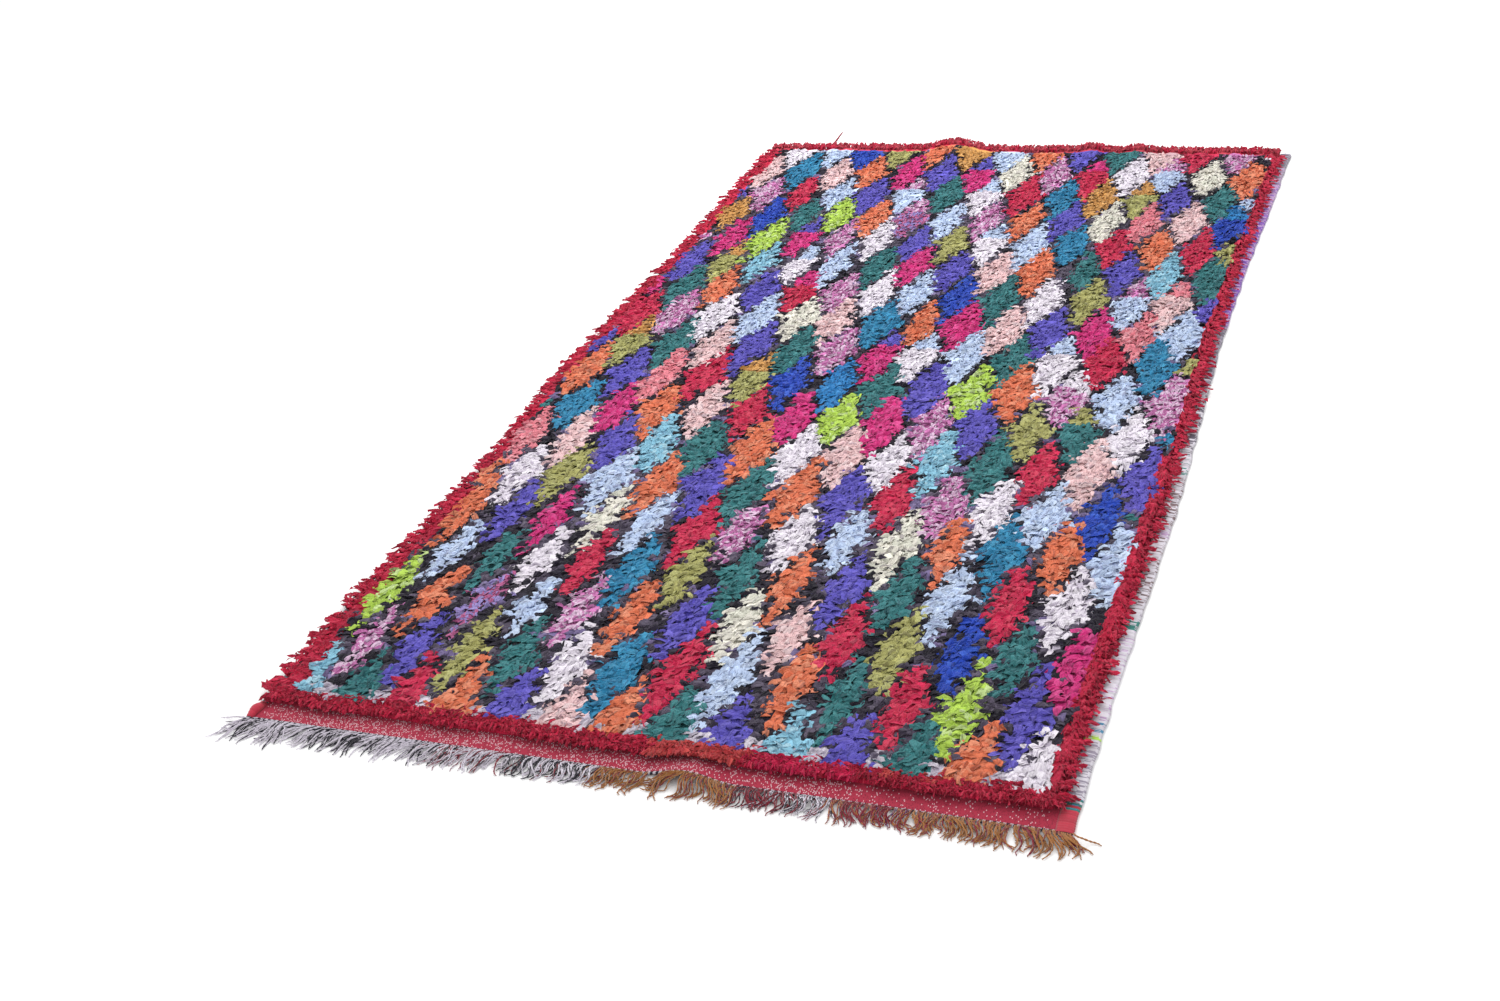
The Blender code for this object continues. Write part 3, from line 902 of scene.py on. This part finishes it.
# The fringe: the warp ends, cut a hand's width from the band and left loose. Each is a wool
# yarn of two plies, pale and dark in the middle and left of the cloth and ochre and dark red
# further right. They cling together in locks, lean as they fell, and lie on the floor.
YARN_PITCH = 0.0020
YARN_STATIONS = 10
PLY_SIDES = 3
PLY_RADIUS = 0.00120
PLY_GAP = 0.00085
TWIST_PITCH = 0.0110
YARNS_IN_LOCK = 9
RIPPLE_GAP = (0.716, 0.740)  # no end hangs where the rippled band stands clear of the floor
FRINGE_LEAN = (  # distance across, degrees to the right, yarn length, curl
    (0.000, -46.0, 0.074, 0.15),
    (0.035, -42.0, 0.072, 0.20),
    (0.120, -36.0, 0.066, 0.30),
    (0.300, -31.0, 0.062, 0.40),
    (0.420, -24.0, 0.060, 0.55),
    (0.500, -13.0, 0.056, 0.80),
    (0.620, -10.0, 0.056, 1.00),
    (0.720, -34.0, 0.060, 0.90),
    (0.780, -40.0, 0.062, 0.80),
    (0.800, -6.0, 0.056, 0.90),
    (0.900, -2.0, 0.054, 0.90),
    (1.230, 6.0, 0.056, 0.80),
    (1.315, 22.0, 0.066, 0.60),
    (1.350, 42.0, 0.070, 0.50),
)
YARNS = {
    "pale": (0.820, 0.760, 0.860),
    "black": (0.018, 0.015, 0.028),
    "dark_red": (0.260, 0.012, 0.030),
    "ochre": (0.430, 0.170, 0.040),
    "violet": (0.120, 0.040, 0.180),
}
WARP_ENDS = (  # from this distance across: the plies of its yarns, as pairs and their shares
    (0.00, (("pale", "pale", 0.50), ("pale", "black", 0.20), ("black", "black", 0.30))),
    (0.36, (("pale", "pale", 0.35), ("dark_red", "pale", 0.25), ("black", "black", 0.40))),
    (0.43, (("dark_red", "dark_red", 0.35), ("black", "pale", 0.35), ("pale", "pale", 0.30))),
    (0.50, (("black", "black", 0.50), ("pale", "pale", 0.30), ("dark_red", "black", 0.20))),
    (0.64, (("ochre", "ochre", 0.60), ("ochre", "dark_red", 0.40))),
    (0.84, (("dark_red", "dark_red", 0.55), ("dark_red", "black", 0.25), ("pale", "black", 0.20))),
    (0.95, (("pale", "black", 0.60), ("pale", "pale", 0.20), ("dark_red", "pale", 0.20))),
    (1.00, (("dark_red", "dark_red", 0.45), ("ochre", "dark_red", 0.35), ("violet", "dark_red", 0.20))),
    (1.12, (("ochre", "ochre", 0.40), ("ochre", "dark_red", 0.45), ("dark_red", "dark_red", 0.15))),
)

wool = painted("yarn_wool", roughness=0.9, sheen=0.3, wrinkle=700.0, depth=0.0006)


def yarn_lines(across, lean, length, curl, lock):
    """Middle lines of the yarns, from the band's edge out over the floor."""
    count = len(across)
    s = np.linspace(0.0, 1.0, YARN_STATIONS)[None, :]
    locks = lock.max() + 1
    lock_lean = dice.normal(0.0, 9.0, locks)[lock]
    lock_curl = dice.uniform(0.0, 2.0 * math.pi, locks)[lock]
    lock_turns = dice.uniform(0.5, 1.6, locks)[lock]
    lock_rise = dice.uniform(0.0, 0.006, locks)[lock]
    turn = np.radians(lean + lock_lean + dice.normal(0.0, 5.0, count))[:, None]
    phase = (lock_curl + dice.normal(0.0, 0.5, count))[:, None]
    wave = curl[:, None] * 1.2 * np.sin(phase + 2.0 * math.pi * lock_turns[:, None] * s)
    angle = turn * smooth_step(s * 1.8 + 0.25) + wave * s
    angle += np.cumsum(dice.normal(0.0, 0.11, (count, YARN_STATIONS)), 1)
    step = length[:, None] / (YARN_STATIONS - 1)
    u = across[:, None] + np.cumsum(np.sin(angle) * step, 1)
    v = -np.cumsum(np.cos(angle) * step, 1) + step + 0.003
    start_lift = floor_lift(across[:, None], np.zeros((1, 1)))
    rise = (lock_rise + dice.uniform(0.0, 0.003, count))[:, None]
    rise = rise * np.sin(math.pi * np.minimum(s * 1.4, 1.0))
    z = 0.0022 + rise + (start_lift + 0.0006) * (1.0 - smooth_step(s * 1.6))
    left = LEFT_SIDE + column(SIDE_WAVER, 0.0, 1)
    scale = (CLOTH_WIDTH + column(SIDE_WAVER, 0.0, 2) - column(SIDE_WAVER, 0.0, 1)) / CLOTH_WIDTH
    return np.stack((left + u * scale, NEAR_SIDE + v, z), -1)


def ply_tubes(lines, start, radius):
    """Points of one ply of each yarn: a thin tube wound round the yarn's middle line."""
    run = np.gradient(lines, axis=1)
    length = np.linalg.norm(run, axis=2, keepdims=True)
    ahead = run / length
    beside = np.cross(ahead, (0.0, 0.0, 1.0))
    beside /= np.linalg.norm(beside, axis=2, keepdims=True)
    over = np.cross(beside, ahead)
    turn = start + 2.0 * math.pi * np.cumsum(length, 1) / TWIST_PITCH
    s = np.linspace(0.0, 1.0, lines.shape[1])[None, :, None]
    wound = lines + (beside * np.cos(turn) + over * np.sin(turn)) * PLY_GAP * (1.0 - 0.6 * s ** 3)
    around = (np.arange(PLY_SIDES) * 2.0 * math.pi / PLY_SIDES)[None, None, :, None]
    thick = radius * (1.0 - 0.45 * s[..., None] ** 4)
    ring = beside[:, :, None] * np.cos(around) + over[:, :, None] * np.sin(around)
    points = wound[:, :, None] + ring * thick
    points[..., 2] = np.maximum(points[..., 2], 0.0003)
    return points


def tube_faces(count):
    """The faces of as many plies, each a tube of its own."""
    one = grid_faces(YARN_STATIONS, PLY_SIDES, closed=True)[..., ::-1].reshape(1, -1, 4)
    return one + YARN_STATIONS * PLY_SIDES * np.arange(count)[:, None, None]


def fringe():
    count = int(CLOTH_WIDTH / YARN_PITCH)
    across = (np.arange(count) + 0.5) * CLOTH_WIDTH / count
    across = across[(across < RIPPLE_GAP[0]) | (across > RIPPLE_GAP[1])]
    count = len(across)
    lock = np.cumsum(dice.uniform(0.0, 1.0, count) < 1.0 / YARNS_IN_LOCK)
    locks = range(lock.max() + 1)
    middles = np.array([across[lock == k].mean() if (lock == k).any() else 0.0 for k in locks])
    lean = column(FRINGE_LEAN, across, 1)
    length = column(FRINGE_LEAN, across, 2) * dice.uniform(0.70, 1.06, count)
    curl = column(FRINGE_LEAN, across, 3)
    lean -= np.degrees((across - middles[lock]) / 0.05) * 0.55
    lines = yarn_lines(across, lean, length, curl, lock)
    starts = np.array([row[0] for row in WARP_ENDS])
    begin = dice.uniform(0.0, 2.0 * math.pi, (count, 1, 1))
    lock_pick = dice.uniform(0.0, 1.0, lock.max() + 1)
    tubes, colours = [], []
    rows = np.searchsorted(starts, across + dice.normal(0.0, 0.008, count), "right") - 1
    for k, row in enumerate(np.maximum(rows, 0)):
        shares = np.cumsum([pair[2] for pair in WARP_ENDS[row][1]])
        pick = lock_pick[lock[k]] if dice.uniform() < 0.35 else dice.uniform()
        pair = WARP_ENDS[row][1][min(np.searchsorted(shares, pick), len(shares) - 1)]
        colours.append([YARNS[pair[0]], YARNS[pair[1]]])
    for ply in (0, 1):
        tubes.append(ply_tubes(lines, begin + ply * math.pi, PLY_RADIUS))
    points = np.concatenate(tubes)
    faces = tube_faces(2 * count)
    piece = make_piece("fringe_yarns", points, faces, wool)
    tint = np.array(colours).transpose(1, 0, 2).reshape(-1, 1, 3)
    tint = tint * dice.uniform(0.75, 1.1, (2 * count, faces.shape[1], 1))
    paint_faces(piece, tint.reshape(-1, 3), 2 * count, YARN_STATIONS - 1, PLY_SIDES)
    return piece


yarns = fringe()

# A stray end of thick dark red yarn, twisted from two plies and never trimmed. It is tied in
# with the pile and sticks out past the far border, near its left corner.
STRAY_START = (0.165, CLOTH_LENGTH - 0.010)  # across, along
STRAY_END = (0.186, CLOTH_LENGTH + 0.048)
STRAY_LIFT = 0.016
STRAY_RADIUS = 0.0026


def stray_end():
    s = np.linspace(0.0, 1.0, YARN_STATIONS)
    u = STRAY_START[0] + (STRAY_END[0] - STRAY_START[0]) * s + 0.002 * np.sin(5.0 * s)
    v = STRAY_START[1] + (STRAY_END[1] - STRAY_START[1]) * s
    z = STRAY_LIFT * (1.0 + 1.2 * s)
    lines = np.stack((LEFT_SIDE + u, NEAR_SIDE + v, z), -1)[None]
    turns = (0.0, math.pi)
    points = np.concatenate([ply_tubes(lines, turn, STRAY_RADIUS) for turn in turns])
    faces = tube_faces(2)
    piece = make_piece("stray_end", points, faces, wool)
    paint_faces(piece, np.tile(YARNS["dark_red"], (faces.size // 4, 1)), 2, YARN_STATIONS - 1, PLY_SIDES)
    return piece


stray = stray_end()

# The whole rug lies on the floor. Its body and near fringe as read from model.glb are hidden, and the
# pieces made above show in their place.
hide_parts("rug_body")
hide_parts("near_fringe")
